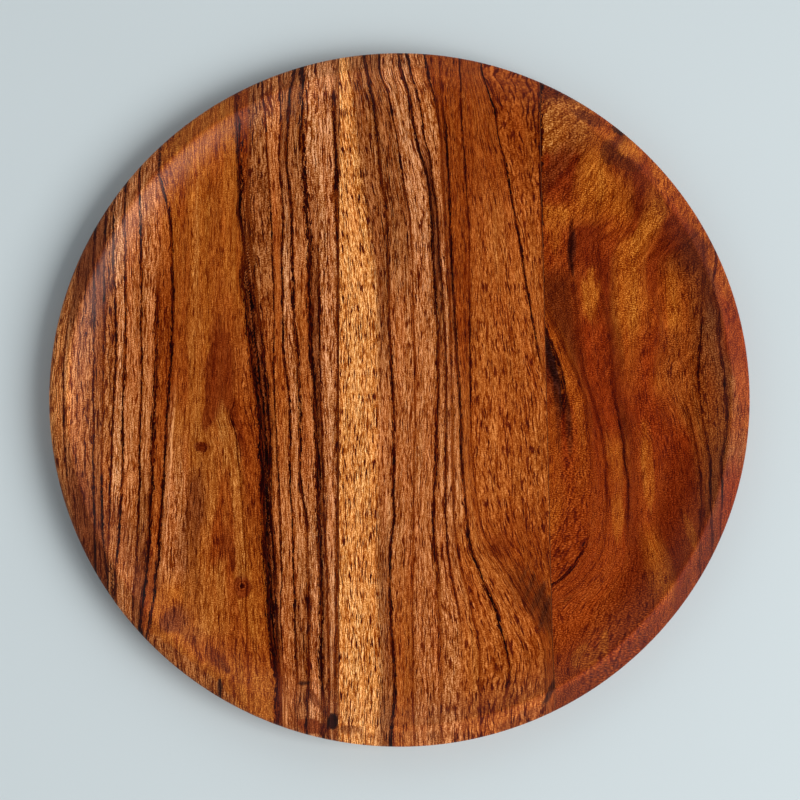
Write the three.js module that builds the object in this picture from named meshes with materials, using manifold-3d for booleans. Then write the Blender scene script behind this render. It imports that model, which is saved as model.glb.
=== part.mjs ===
// A round wooden serving platter. Three boards are glued edge to edge into a blank,
// and the blank is turned to a shallow dish: a flat well, a cove that rises to the
// crest of the rim, a bevel down to a round edge, an undercut and a flat foot.
// Millimetres, +Z up. The origin is the centre of the foot, on the table.
import * as THREE from "three";
import { mergeVertices } from "three/addons/utils/BufferGeometryUtils.js";
import Module from "manifold-3d";

// Driving dimensions of the turned shape.
const RIM_RADIUS = 150; // widest point of the platter
const HEIGHT = 18; // table to the crest of the rim
const WELL_DEPTH = 7; // crest down to the serving surface
const WELL_RADIUS = 118; // where the flat serving surface ends and the cove begins
const CREST_RADIUS = 141.8; // the highest circle of the rim
const CREST_ROUND = 2; // radius that eases the crest
const EDGE_HEIGHT = 12.8; // height of the widest point
const EDGE_ROUND = 3; // radius of the round edge
const FOOT_RADIUS = 112; // where the flat foot ends and the undercut begins

// Driving dimensions of the glued blank. A seam crosses the X axis at `x`, and `turn` is
// how far it leans off the Y axis, counter-clockwise: the boards taper a little.
const LEFT_SEAM = { x: -26, turn: THREE.MathUtils.degToRad(0.17) };
const RIGHT_SEAM = { x: 63.1, turn: THREE.MathUtils.degToRad(0.82) };
const SEAM_WIDTH = 0.3; // board face to board face
const FILM_THICKNESS = 0.2; // cured glue between them

// Facets.
const ROUND_SEGMENTS = 96;
const ARC_DIVISIONS = 4; // an arc gets twice as many straight steps

// Worked out from the driving dimensions.
const WELL_HEIGHT = HEIGHT - WELL_DEPTH;
const COVE_SPAN = CREST_RADIUS - WELL_RADIUS;
const CREST_CENTRE = HEIGHT - CREST_ROUND; // height of the centre of the crest's round
const EDGE_CENTRE = RIM_RADIUS - EDGE_ROUND; // radius of the centre of the edge's round
const CUTTER_SIZE = 4 * RIM_RADIUS;
const RIGHT_ANGLE = Math.PI / 2;

const wasm = await Module();
wasm.setup();

// The half section of the platter, from the middle of the foot, out under the rim, over
// it and in to the middle of the well. x is the radius and y is the height.
function turnedSection() {
  const bevel = bevelAngle();
  const section = new THREE.Path();
  section.moveTo(0, 0);
  section.lineTo(FOOT_RADIUS, 0);
  addEdge(section, bevel);
  addCrestAndCove(section, bevel);
  section.lineTo(0, WELL_HEIGHT);
  return section.getPoints(ARC_DIVISIONS);
}

// How steeply the bevel falls: it touches the round of the crest and the round of the edge.
function bevelAngle() {
  const run = EDGE_CENTRE - CREST_RADIUS;
  const drop = CREST_CENTRE - EDGE_HEIGHT;
  return Math.atan2(drop, run) + Math.asin((CREST_ROUND - EDGE_ROUND) / Math.hypot(run, drop));
}

// A cone runs from the foot up to the round edge, and the bevel leaves it on top.
function addEdge(section, bevel) {
  const run = EDGE_CENTRE - FOOT_RADIUS;
  const cone =
    Math.atan2(EDGE_HEIGHT, run) - Math.asin(EDGE_ROUND / Math.hypot(run, EDGE_HEIGHT));
  section.absarc(EDGE_CENTRE, EDGE_HEIGHT, EDGE_ROUND, cone - RIGHT_ANGLE, RIGHT_ANGLE - bevel, false);
}

// The cove is tangent to the round of the crest and to the flat well.
function addCrestAndCove(section, bevel) {
  const coveRadius =
    (COVE_SPAN ** 2 + WELL_DEPTH ** 2 - 2 * WELL_DEPTH * CREST_ROUND) / (2 * WELL_DEPTH);
  const slope = Math.asin(COVE_SPAN / (coveRadius + CREST_ROUND));
  const coveCentre = WELL_HEIGHT + coveRadius;
  section.absarc(
    CREST_RADIUS, CREST_CENTRE, CREST_ROUND, RIGHT_ANGLE - bevel, RIGHT_ANGLE + slope, false,
  );
  section.absarc(WELL_RADIUS, coveCentre, coveRadius, slope - RIGHT_ANGLE, -RIGHT_ANGLE, true);
}

// A closed geometry as a solid that can be cut.
function solidOf(geometry) {
  const bare = geometry.clone();
  bare.deleteAttribute("normal");
  bare.deleteAttribute("uv");
  const merged = mergeVertices(bare);
  return new wasm.Manifold(
    new wasm.Mesh({
      numProp: 3,
      vertProperties: merged.getAttribute("position").array,
      triVerts: new Uint32Array(merged.index.array),
    }),
  );
}

// A cut solid as a geometry that can be drawn.
function geometryOf(solid) {
  const { vertProperties, triVerts } = solid.getMesh();
  const geometry = new THREE.BufferGeometry();
  geometry.setAttribute("position", new THREE.BufferAttribute(vertProperties, 3));
  geometry.setIndex(new THREE.BufferAttribute(triVerts, 1));
  geometry.computeVertexNormals();
  return geometry;
}

// Everything on one side of a seam: side -1 is to its left and +1 to its right.
// The cut runs parallel to the seam, `offset` to the right of it.
function besideSeam(seam, side, offset) {
  const cutter = new THREE.BoxGeometry(CUTTER_SIZE, CUTTER_SIZE, CUTTER_SIZE);
  cutter.translate((side * CUTTER_SIZE) / 2 + offset, 0, 0);
  cutter.rotateZ(seam.turn);
  cutter.translate(seam.x, 0, 0);
  return solidOf(cutter);
}

const leftOf = (seam, offset) => besideSeam(seam, -1, offset);
const rightOf = (seam, offset) => besideSeam(seam, 1, offset);

// The part of the turned blank that lies inside every one of the cutters.
function cutFrom(blank, ...cutters) {
  return cutters.reduce((rest, cutter) => rest.intersect(cutter), blank);
}

// The film fills a seam from the well to the foot, short of both boards by a hair.
function glueFilm(blank, seam) {
  const half = FILM_THICKNESS / 2;
  return cutFrom(blank, rightOf(seam, -half), leftOf(seam, half));
}

function addPiece(group, name, solid, material) {
  const mesh = new THREE.Mesh(geometryOf(solid), material);
  mesh.name = name;
  group.add(mesh);
}

const oiledWood = (color) =>
  new THREE.MeshStandardMaterial({ color, roughness: 0.42, metalness: 0 });
const stripedWood = oiledWood("#88461f");
const paleEdgedWood = oiledWood("#974f24");
const redCurlyWood = oiledWood("#7e3310");
const curedGlue = new THREE.MeshStandardMaterial({
  color: "#3c1c0c",
  roughness: 0.5,
  metalness: 0,
});

const turned = new THREE.LatheGeometry(turnedSection(), ROUND_SEGMENTS);
turned.rotateX(Math.PI / 2);
const blank = solidOf(turned);
const half = SEAM_WIDTH / 2;

const leftBoard = cutFrom(blank, leftOf(LEFT_SEAM, -half));
const middleBoard = cutFrom(blank, rightOf(LEFT_SEAM, half), leftOf(RIGHT_SEAM, -half));
const rightBoard = cutFrom(blank, rightOf(RIGHT_SEAM, half));

const platter = new THREE.Group();
platter.name = "serving_platter";
addPiece(platter, "left_board", leftBoard, stripedWood);
addPiece(platter, "middle_board", middleBoard, paleEdgedWood);
addPiece(platter, "right_board", rightBoard, redCurlyWood);
addPiece(platter, "left_glue_film", glueFilm(blank, LEFT_SEAM), curedGlue);
addPiece(platter, "right_glue_film", glueFilm(blank, RIGHT_SEAM), curedGlue);

export default platter;
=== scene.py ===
from collections import namedtuple
from math import asin, atan2, cos, degrees, hypot, radians, sin
from types import SimpleNamespace

import bmesh
import bpy
import numpy as np
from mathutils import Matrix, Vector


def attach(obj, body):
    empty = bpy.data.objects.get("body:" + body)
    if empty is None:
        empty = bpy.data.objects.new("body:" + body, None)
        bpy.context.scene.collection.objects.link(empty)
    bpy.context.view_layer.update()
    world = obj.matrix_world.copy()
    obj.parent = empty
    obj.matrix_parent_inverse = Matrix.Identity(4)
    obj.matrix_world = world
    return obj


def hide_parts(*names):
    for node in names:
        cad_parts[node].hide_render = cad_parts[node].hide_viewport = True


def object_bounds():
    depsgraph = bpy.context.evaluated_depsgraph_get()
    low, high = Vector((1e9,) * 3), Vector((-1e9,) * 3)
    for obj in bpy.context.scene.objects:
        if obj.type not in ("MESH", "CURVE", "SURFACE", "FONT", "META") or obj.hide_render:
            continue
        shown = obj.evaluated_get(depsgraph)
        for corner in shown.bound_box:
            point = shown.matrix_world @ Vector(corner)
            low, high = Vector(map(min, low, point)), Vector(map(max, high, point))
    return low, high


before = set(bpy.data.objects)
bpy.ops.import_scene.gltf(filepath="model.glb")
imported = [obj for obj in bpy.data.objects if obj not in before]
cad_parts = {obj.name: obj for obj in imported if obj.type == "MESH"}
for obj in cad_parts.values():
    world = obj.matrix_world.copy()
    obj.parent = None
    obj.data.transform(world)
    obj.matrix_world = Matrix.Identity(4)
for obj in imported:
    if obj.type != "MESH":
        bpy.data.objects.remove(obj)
cad_box = [list(corner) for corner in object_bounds()]

MM = 0.001

# The turned shape, with its width and height taken from the frame.
RIM_RADIUS = (cad_box[1][0] - cad_box[0][0]) / 2 / MM
HEIGHT = (cad_box[1][2] - cad_box[0][2]) / MM
WELL_DEPTH = 7
WELL_RADIUS = 118
CREST_RADIUS = 141.8
CREST_ROUND = 2
EDGE_HEIGHT = 12.8
EDGE_ROUND = 3
FOOT_RADIUS = 112
WELL_HEIGHT = HEIGHT - WELL_DEPTH
CREST_CENTRE = (CREST_RADIUS, HEIGHT - CREST_ROUND)
EDGE_CENTRE = (RIM_RADIUS - EDGE_ROUND, EDGE_HEIGHT)

# The glued seams: where each one crosses the X axis and how far it leans, in degrees.
Seam = namedtuple("Seam", "x turn")
LEFT_SEAM = Seam(-26, 0.17)
RIGHT_SEAM = Seam(63.1, 0.82)
SEAM_WIDTH = 0.3
FILM_THICKNESS = 0.2
CUT_TOLERANCE = 1e-6  # metres

# How finely each stretch of the profile is divided into rings.
WELL_RINGS = 118
COVE_RINGS = 24
CREST_RINGS = 6
BEVEL_RINGS = 5
EDGE_RINGS = 6
UNDERCUT_RINGS = 34
FOOT_RINGS = WELL_RINGS + COVE_RINGS + CREST_RINGS + BEVEL_RINGS - UNDERCUT_RINGS
SHARP_ANGLE = radians(35)  # facets that meet at more than this show an edge


def arc(centre, radius, start, end, steps):
    """Points on a circle from the start angle to the end angle, in degrees, without the first."""
    angles = np.radians(np.linspace(start, end, steps + 1))[1:]
    return np.column_stack([centre[0] + radius * np.cos(angles), centre[1] + radius * np.sin(angles)])


def straight(start, end, steps):
    """Points on a straight line, without the first."""
    along = np.linspace(0, 1, steps + 1)[1:, None]
    return np.asarray(start) + along * (np.asarray(end) - np.asarray(start))


def top_profile():
    """Radius and height of each ring, from the middle of the well out to the widest point."""
    span = CREST_RADIUS - WELL_RADIUS
    cove_radius = (span**2 + WELL_DEPTH**2 - 2 * WELL_DEPTH * CREST_ROUND) / (2 * WELL_DEPTH)
    cove_centre = (WELL_RADIUS, WELL_HEIGHT + cove_radius)
    slope = degrees(asin(span / (cove_radius + CREST_ROUND)))
    run = EDGE_CENTRE[0] - CREST_CENTRE[0]
    drop = CREST_CENTRE[1] - EDGE_CENTRE[1]
    lean = asin((CREST_ROUND - EDGE_ROUND) / hypot(run, drop))
    bevel = degrees(atan2(drop, run) + lean)
    crest = arc(CREST_CENTRE, CREST_ROUND, 90 + slope, 90 - bevel, CREST_RINGS)
    edge = arc(EDGE_CENTRE, EDGE_ROUND, 90 - bevel, 0, EDGE_RINGS)
    edge_start = arc(EDGE_CENTRE, EDGE_ROUND, 0, 90 - bevel, 1)[0]
    return np.vstack([
        [(0, WELL_HEIGHT)],
        straight((0, WELL_HEIGHT), (WELL_RADIUS, WELL_HEIGHT), WELL_RINGS),
        arc(cove_centre, cove_radius, -90, slope - 90, COVE_RINGS),
        crest,
        straight(crest[-1], edge_start, BEVEL_RINGS),
        edge,
    ])


def underside_profile():
    """Radius and height of each ring, from the middle of the foot out to the widest point."""
    run = EDGE_CENTRE[0] - FOOT_RADIUS
    cone = atan2(EDGE_HEIGHT, run) - asin(EDGE_ROUND / hypot(run, EDGE_HEIGHT))
    edge = arc(EDGE_CENTRE, EDGE_ROUND, 0, degrees(cone) - 90, EDGE_RINGS)
    undercut = straight(edge[-1], (FOOT_RADIUS, 0), UNDERCUT_RINGS)
    foot = straight((FOOT_RADIUS, 0), (0, 0), FOOT_RINGS)
    return np.vstack([[(RIM_RADIUS, EDGE_HEIGHT)], edge, undercut, foot])[::-1]


TOP = top_profile()
UNDERSIDE = underside_profile()


def ring_grid(count):
    """A square grid whose nested squares become rings: each point's ring and its angle."""
    steps = np.arange(-count, count + 1)
    column, row = np.meshgrid(steps, steps)
    ring = np.maximum(abs(column), abs(row))
    sideways = abs(column) >= abs(row)
    lean = np.where(sideways, row, column) / np.maximum(ring, 1) * np.pi / 4
    on_side = np.where(column >= 0, lean, np.pi - lean)
    on_end = np.where(row >= 0, np.pi / 2 - lean, -np.pi / 2 + lean)
    return ring, np.where(sideways, on_side, on_end)


def turned_blank():
    """The whole platter as one closed mesh of quads, before it is parted into boards."""
    count = len(TOP) - 1
    ring, angle = ring_grid(count)
    width = 2 * count + 1
    top_index = np.arange(width * width).reshape(width, width)
    inner = ring < count
    under_index = top_index.copy()
    under_index[inner] = width * width + np.arange(inner.sum())

    def places(profile, where):
        radius, height = profile[ring[where]].T
        turn = angle[where]
        return np.column_stack([radius * np.cos(turn), radius * np.sin(turn), height])

    def quads(index, corners):
        return np.stack([index[corner].ravel() for corner in corners], 1)

    near, far = slice(None, -1), slice(1, None)
    facing_up = [(near, near), (near, far), (far, far), (far, near)]
    everywhere = np.ones_like(inner)
    points = np.vstack([places(TOP, everywhere), places(UNDERSIDE, inner)])
    faces = np.vstack([quads(top_index, facing_up), quads(under_index, facing_up[::-1])])
    mesh = bpy.data.meshes.new("turned_blank")
    mesh.from_pydata((points * MM).tolist(), [], faces.tolist())
    return mesh


def keep_left(seam, offset):
    """A cut beside a seam that keeps what is on its left: a point and the normal cut away."""
    turn = radians(seam.turn)
    normal = np.array([cos(turn), sin(turn), 0])
    return (np.array([seam.x, 0, 0]) + normal * offset) * MM, normal


def keep_right(seam, offset):
    point, normal = keep_left(seam, offset)
    return point, -normal


def put(name, data):
    """A new object in the scene."""
    thing = bpy.data.objects.new(name, data)
    bpy.context.collection.objects.link(thing)
    return thing


def part_off(blank, name, cuts):
    """A closed piece of the blank, cut along each of the planes."""
    body = bmesh.new()
    body.from_mesh(blank)
    for point, normal in cuts:
        everything = body.verts[:] + body.edges[:] + body.faces[:]
        cut = bmesh.ops.bisect_plane(
            body, geom=everything, dist=CUT_TOLERANCE, plane_co=point, plane_no=normal, clear_outer=True
        )
        loop = [part for part in cut["geom_cut"] if isinstance(part, bmesh.types.BMEdge)]
        cap = bmesh.ops.holes_fill(body, edges=loop, sides=0)
        bmesh.ops.triangulate(body, faces=cap["faces"])
    bmesh.ops.recalc_face_normals(body, faces=body.faces[:])
    mesh = bpy.data.meshes.new(name)
    body.to_mesh(mesh)
    body.free()
    mesh.shade_smooth()
    mesh.set_sharp_from_angle(angle=SHARP_ANGLE)
    return put(name, mesh)


# Wood tones: colour, how strongly streaks show in it, and how strongly its pores show.
Tone = namedtuple("Tone", "colour streak pore")
SAP = Tone("#da853c", 0.65, 0.95)
TAN = Tone("#b66933", 1.0, 0.7)
HONEY = Tone("#b0602a", 0.8, 0.5)
ORANGE = Tone("#a65119", 0.5, 0.5)
PLAIN = Tone("#a25014", 0.5, 0.3)
STRAW = Tone("#a5551a", 0.5, 0.35)
WHEAT = Tone("#b06324", 0.5, 0.3)
# PALE paints the sheen strip in the left cove, a painted highlight, and lightens the left rim, pale wood
# with painted light on its shaded side.
PALE = Tone("#c16a2a", 1.1, 0.6)
BROWN = Tone("#904a1c", 1.0, 0.7)
RUST = Tone("#903d0c", 0.55, 0.45)
FLAME = Tone("#762a06", 0.5, 0.3)
UMBER = Tone("#74320f", 0.8, 0.5)
BLACK = Tone("#2c0c05", 0.8, 0.3)
GOLD = Tone("#ac5513", 0.4, 0.4)
AMBER = Tone("#9d450c", 0.45, 0.5)
EMBER = Tone("#8c3408", 0.45, 0.5)
RED = Tone("#832a05", 0.4, 0.5)
CLARET = Tone("#742304", 0.4, 0.4)
COFFEE = Tone("#622104", 0.5, 0.3)
MOTTLED = Tone("#8f3e0d", 1.2, 0.7)

# A growth line: its path as (y, x) points, its half width, how dark it is as (y, ink) points, and
# the tone of the wood to its right as (y, tone) points. Ink below zero makes a pale line, and a
# line without ink only parts two tones. Points run from the far end of the board to the near end.
# A patch is an ellipse of another tone, with its middle, its half sizes across and along the grain,
# how far it turns counter-clockwise, how soft its border is and how strong its tone. A knot has its
# middle, its radius and its ink. Ink, softness and strength are in percent.
# A figure is the tone before the first line, the lines, the patches and the knots, how far the grain
# leans as it goes down into the board, and the width over which tones meet.
Line = namedtuple("Line", "path width ink after")
Patch = namedtuple("Patch", "x y across along turn soft strength tone")
Knot = namedtuple("Knot", "x y radius ink")
Figure = namedtuple("Figure", "first lines patches knots slant blend")
NO_INK = [(0, 0)]

LEFT_LINES = [
    # The honey in the middle of this line's strip, in the left cove, is partly the wood's tone and partly
    # painted light that strengthens the sheen there.
    ([(60, -138), (20, -143), (0, -143.3), (-20, -142.5), (-60, -138)], 0.35,
     [(40, 0), (25, 80), (-35, 70), (-50, 0)],
     [(50, UMBER), (30, BROWN), (15, HONEY), (-10, HONEY), (-30, BROWN), (-45, UMBER)]),
    ([(60, -131.5), (20, -131), (0, -131), (-30, -130.4), (-60, -128.5)], 0.4,
     [(70, 50), (0, 70), (-70, 80)], [(45, UMBER), (0, BROWN), (-35, BROWN), (-60, UMBER)]),
    ([(60, -127), (0, -127), (-40, -126.5), (-60, -125.3), (-80, -123)], 0.45,
     [(70, 40), (-30, 30), (-42, 90), (-55, 90), (-90, 60)], [(30, BROWN), (-50, HONEY), (-75, BROWN)]),
    ([(60, -123.2), (40, -122.5), (20, -122), (0, -122.4), (-60, -123)], 0.4,
     [(20, 90), (-50, 60), (-70, 30)], [(-40, TAN), (-60, HONEY), (-75, BROWN)]),
    ([(75, -118.6), (50, -118.4), (20, -118), (0, -118.4), (-40, -118.2), (-80, -119.5)], 0.5,
     [(80, 80), (30, 100)], [(0, HONEY)]),
    ([(97, -112.3), (50, -111.6), (20, -111), (-10, -110.9), (-70, -111.4), (-95, -112)], 0.45,
     [(-40, 100), (-60, 50)], [(-30, HONEY), (-48, BROWN), (-65, BROWN), (-80, UMBER), (-100, BROWN)]),
    ([(60, -104), (40, -104.8), (0, -104.8), (-20, -105.2), (-60, -106.2), (-80, -107.3),
      (-100, -109)], 0.8,
     [(60, 0), (40, 50), (20, 95)], [(70, ORANGE), (40, RUST), (-10, RUST), (-45, ORANGE), (-85, RUST)]),
    ([(105, -107), (90, -103), (80, -100.2), (60, -98.7), (40, -97.8), (20, -98), (0, -98.9),
      (-40, -100.6), (-60, -101.6), (-80, -103), (-98, -104.8), (-108, -107)], 0.6,
     [(108, 90), (60, 80), (30, 95), (-110, 100)],
     [(60, PLAIN), (5, RUST), (-12, HONEY), (-75, HONEY), (-85, PLAIN)]),
    ([(40, -95), (10, -96), (-20, -97), (-50, -98.5), (-70, -99.5)], 0.4,
     [(30, 0), (-10, -30), (-45, -30), (-70, 0)],
     [(60, PLAIN), (5, RUST), (-12, STRAW), (-40, HONEY), (-75, HONEY), (-85, PLAIN)]),
    ([(100, -90), (60, -89.8), (0, -90), (-40, -90), (-80, -90.5), (-110, -92)], 0.3,
     [(95, -10), (60, -20), (30, 0), (-30, 10), (-45, 35), (-70, 30), (-85, 0)],
     [(-8, PLAIN), (-15, STRAW), (-65, STRAW), (-100, PLAIN)]),
    ([(60, -72), (20, -72), (0, -72), (-10, -73), (-17, -71), (-27, -69.6), (-38, -68), (-50, -67),
      (-70, -65.5), (-90, -65), (-130, -63)], 0.35,
     [(-6, 0), (-12, 60), (-25, 50), (-40, 40), (-60, 30), (-120, 25)],
     [(32, PLAIN), (16, ORANGE), (-4, RUST), (-52, RUST), (-75, PLAIN)]),
    ([(130, -71.5), (115, -70.5), (100, -70), (89, -69.4), (80, -69.8), (70, -68), (60, -67.5),
      (50, -68.2), (40, -66.3), (30, -65.6), (20, -64.6), (10, -63.4), (0, -61.8), (-20, -59.5),
      (-40, -58.2), (-60, -57.6), (-80, -56.4), (-100, -55), (-110, -53.8), (-120, -51.6),
      (-145, -51.4)], 1.1,
     [(125, 40), (112, 95), (85, 95), (70, 60), (55, 60), (40, 95), (-60, 85), (-145, 70)],
     [(110, RUST), (70, BROWN), (40, UMBER), (0, COFFEE), (-60, UMBER), (-118, COFFEE), (-128, RUST)]),
    ([(60, -66.2), (40, -64), (20, -61.8), (0, -59.3), (-20, -57.6), (-40, -56.9), (-60, -56),
      (-80, -54.8), (-100, -53.6), (-120, -51), (-145, -50.6)], 0.4,
     [(60, 0), (40, 80), (-110, 80), (-120, 0)],
     [(110, RUST), (70, BROWN), (40, UMBER), (-100, UMBER), (-118, COFFEE), (-128, RUST)]),
    ([(130, -67), (100, -66), (80, -65.5), (60, -64), (40, -61.6), (20, -59.2), (0, -56.8), (-20, -55.6),
      (-40, -55.6), (-50, -55), (-60, -54.2), (-70, -53.4), (-100, -52), (-120, -50.4),
      (-145, -49.5)], 0.9,
     [(110, 10), (30, 50), (0, 95), (-60, 85), (-105, 75), (-115, 30)],
     [(60, BROWN), (0, ORANGE), (-60, HONEY)]),
    ([(140, -60), (110, -58), (80, -56), (60, -55), (40, -54.3), (0, -53.9), (-20, -52.8), (-50, -51.2),
      (-80, -50.3), (-100, -50.2), (-130, -48)], 0.35,
     [(100, 40), (80, 80), (-100, 80), (-120, 20)],
     [(120, HONEY), (60, ORANGE), (0, ORANGE), (-60, HONEY)]),
    ([(140, -52.2), (120, -51.8), (105, -52.6), (90, -51.5), (80, -50.7), (60, -51.2), (40, -50.5),
      (20, -50), (0, -47.9), (-20, -47), (-40, -46.8), (-60, -45.4), (-80, -44.8),
      (-120, -43.4)], 0.45,
     [(145, 60), (60, 85), (40, 100), (-110, 95), (-124, 20)],
     [(110, BROWN), (50, TAN), (-60, HONEY), (-100, BROWN)]),
    ([(142, -46), (130, -47.7), (118, -48.8), (102, -49.2), (90, -47.9), (70, -46.6), (50, -46.2),
      (30, -45.2), (20, -44.2), (0, -43), (-20, -42.5), (-40, -42.3), (-50, -40.6), (-70, -39.2),
      (-120, -38.5)], 0.65,
     [(145, 90), (-45, 100), (-60, 60)], [(110, BROWN), (60, HONEY), (30, ORANGE), (-60, TAN)]),
    ([(142, -42), (120, -42.7), (100, -42), (80, -40.2), (70, -39.2), (50, -39.2), (30, -38.6),
      (10, -37.5), (0, -36.6), (-20, -35.6), (-40, -35), (-60, -34), (-100, -33), (-120, -33),
      (-130, -31.8)], 1.0,
     [(145, 90), (-125, 95), (-130, 50)], [(110, TAN), (60, BROWN), (40, UMBER), (-60, BROWN)]),
    ([(140, -36), (100, -36), (60, -35.2), (20, -34.5), (0, -34), (-40, -32.5), (-80, -31),
      (-120, -29.5)], 0.5,
     [(70, 10), (40, 70), (-60, 60), (-100, 40)], [(0, TAN)]),
    ([(135, -29.2), (120, -28.6), (100, -27.8), (80, -27.3), (-150, -27)], 0.7,
     [(134, 0), (130, 95), (90, 95), (50, 50), (-150, 40)], [(0, BROWN)]),
]

LEFT_PATCHES = [
    # The pale strip at x -140.9 is a painted highlight: the sheen along the crest of the left cove. The
    # brown patch at x -135 darkens the cove inside it, partly darker wood and partly painted shade where
    # the sheen fades.
    (-135, 2, 3.6, 30, 0, 70, 70, BROWN),
    (-140.9, 0, 1.1, 24, 0, 60, 80, PALE),
    (-114, -66, 6, 24, 30, 80, 50, UMBER),
    (-68, -108, 6, 26, 60, 80, 60, RUST),
    (-93.5, 66, 2.2, 34, 1, 70, 60, RUST),
    (-88.2, 64, 1.1, 34, 0, 60, 80, WHEAT),
    (-80, 75, 3, 36, 0, 80, 40, RUST),
    (-87.5, 16, 2.8, 30, 0, 50, 80, STRAW),
    (-93, 2, 1.2, 13, 0, 60, 70, RUST),
    (-76.5, 26, 4.6, 20, 0, 80, 75, RUST),
    (-70.5, 20, 3.4, 18, 0, 50, 80, RUST),
    (-77.2, 5, 6.2, 24, 1, 25, 100, FLAME),
    (-75, -5, 3.6, 7, 8, 70, 80, CLARET),
    (-70.6, -13, 2.5, 16, 13, 35, 90, FLAME),
    (-82.4, -9, 2.2, 8, -6, 40, 90, FLAME),
    (-79.6, -24, 4, 16.5, -13, 25, 100, STRAW),
    (-72.4, -27, 3.5, 19.5, 11, 20, 100, WHEAT),
    (-77.5, -36, 6.5, 20, 0, 40, 90, STRAW),
    (-76.5, -28, 0.5, 8, 0, 50, 90, RUST),
    (-72, -34, 1.4, 14, 9, 50, 80, WHEAT),
    (-84.8, -23.3, 1.9, 2.1, 0, 40, 100, FLAME),
    (-87.2, -51, 3.8, 18, -2, 85, 90, UMBER),
    (-91, -70, 3.6, 14, 0, 90, 50, UMBER),
    (-86.5, -90, 4, 14, 0, 60, 35, UMBER),
    (-81, -54, 1, 20, -4, 50, 80, WHEAT),
    (-68, -61, 2.2, 21, 5, 30, 100, WHEAT),
    (-76.8, -53, 2, 20, -8, 25, 100, RUST),
    (-72.7, -54, 1.9, 20, 5, 25, 100, RUST),
    (-75.6, -67, 4.9, 12, 0, 20, 100, RUST),
    (-72.8, -67, 2.6, 10, 10, 50, 90, FLAME),
    (-70.4, -87, 1.5, 17, 9, 30, 90, RUST),
    (-79, -87, 3.6, 16, -12, 15, 100, WHEAT),
    (-74.2, -88, 2.8, 17, 8, 15, 100, STRAW),
    (-77, -94, 6, 18, 0, 30, 100, STRAW),
    (-77, -78, 1.2, 7, 0, 50, 80, WHEAT),
    (-66.8, -83.5, 3.4, 4.8, 0, 35, 100, FLAME),
    (-66.5, -104, 0.7, 14, 8, 60, 80, RUST),
    (-71.3, -95, 0.6, 14, 2, 60, 70, RUST),
    # These two umber patches darken the cove inside the crest on the lower left: partly darker wood and
    # partly painted shade in the cove.
    (-95, -97.5, 6, 5, 40, 60, 100, UMBER),
    (-86, -104.5, 3, 6, 60, 80, 60, UMBER),
    (-89, -117, 3.4, 24, 53, 30, 70, BROWN),
    (-77, -109, 9, 6, 20, 60, 80, RUST),
    (-76, -113.5, 2.4, 6, 42, 50, 90, FLAME),
    (-73.5, -116.5, 1.2, 3.5, 40, 60, 80, COFFEE),
    (-75.2, -126, 0.9, 4.5, 0, 50, 100, BLACK),
    (-36.5, -141.5, 6.5, 3.2, -15, 40, 90, FLAME),
    (-27.8, -139.6, 2.2, 3.4, 0, 50, 100, BLACK),
    (-40.3, -123.6, 2.4, 0.9, 0, 50, 90, BLACK),
    (-36, -130, 1.5, 4.5, 35, 60, 80, UMBER),
]

LEFT_FIGURE = Figure(
    # The pale tone on the left rim, from y 25 to -15, is partly pale wood and partly painted light on the
    # rim's shaded side.
    first=[(55, BROWN), (25, PALE), (-15, PALE), (-45, BROWN)],
    lines=[Line(*row) for row in LEFT_LINES],
    patches=[Patch(*row) for row in LEFT_PATCHES],
    knots=[Knot(-84.8, -23.5, 2.4, 50), Knot(-66.6, -82.8, 1.3, 160)],
    slant=0.35,
    blend=1.2,
)

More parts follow.
